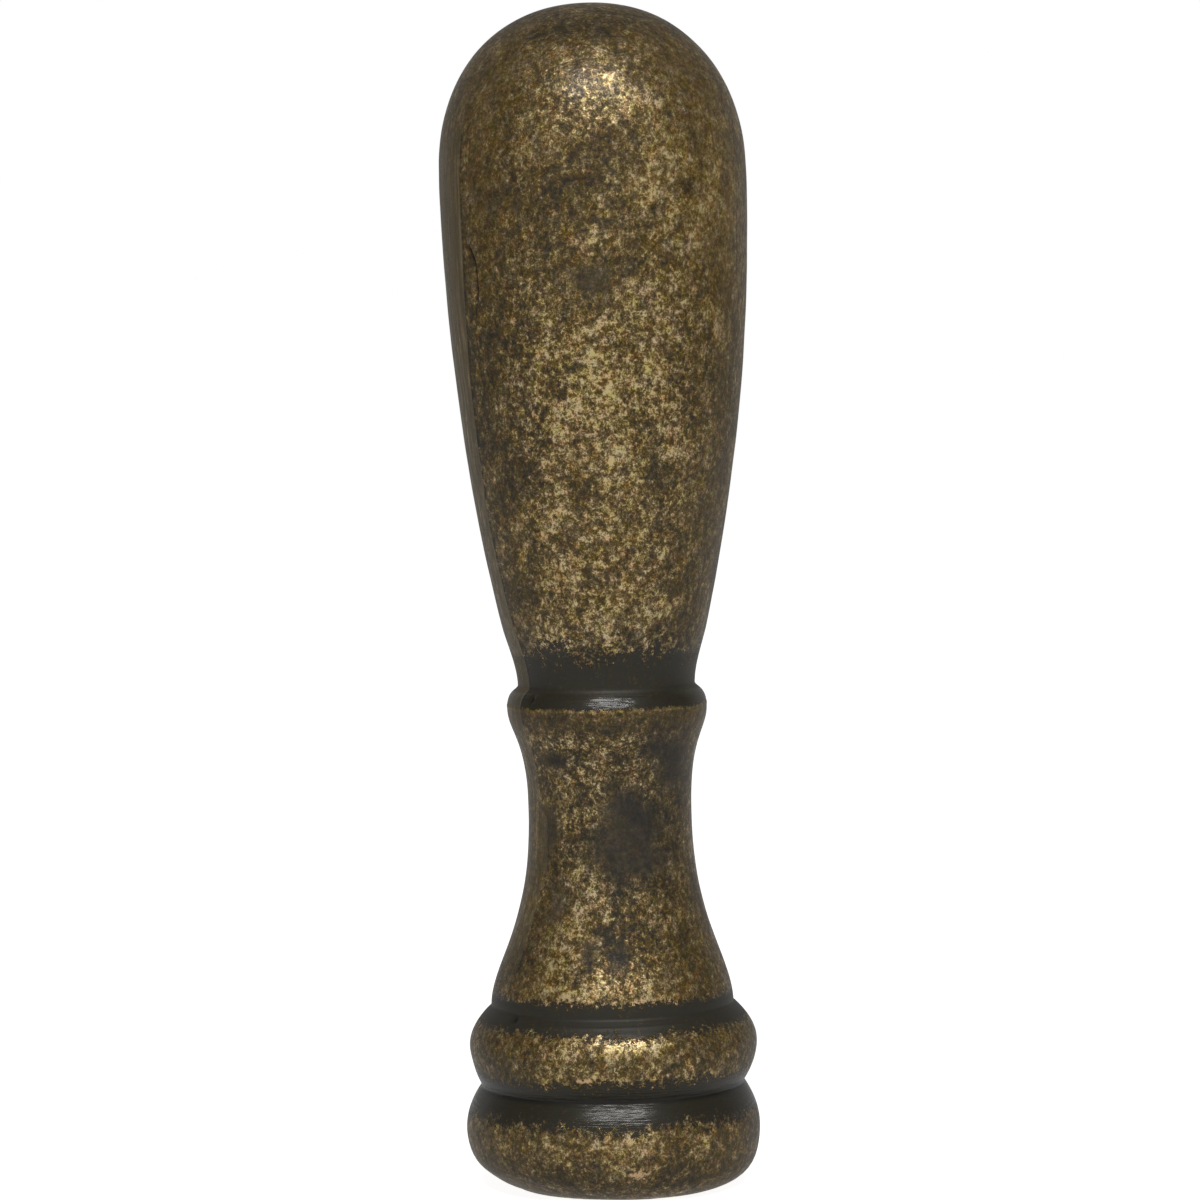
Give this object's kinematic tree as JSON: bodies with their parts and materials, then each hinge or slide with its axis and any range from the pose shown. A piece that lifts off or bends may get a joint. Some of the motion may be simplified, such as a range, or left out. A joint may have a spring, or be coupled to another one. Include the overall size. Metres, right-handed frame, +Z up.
{
  "type": "finial",
  "caption": "Tall domed baluster finial on a slim waist and a round beaded foot, antiqued brass finish, tapped underneath.",
  "frame": {"origin": "centre of the flat underside that it stands on, on the axis of the tapped hole", "axes": "+Z up along the axis of the turning to the top of the dome; +X and +Y are free, because the form is round"},
  "size_m": [0.0166, 0.0166, 0.064],
  "materials": {
    "antique_brass": "cast, brass plated, darkened and relieved, satin lacquer"
  },
  "bodies": {
    "root": {"finial": "antique_brass"}
  },
  "joints": []
}
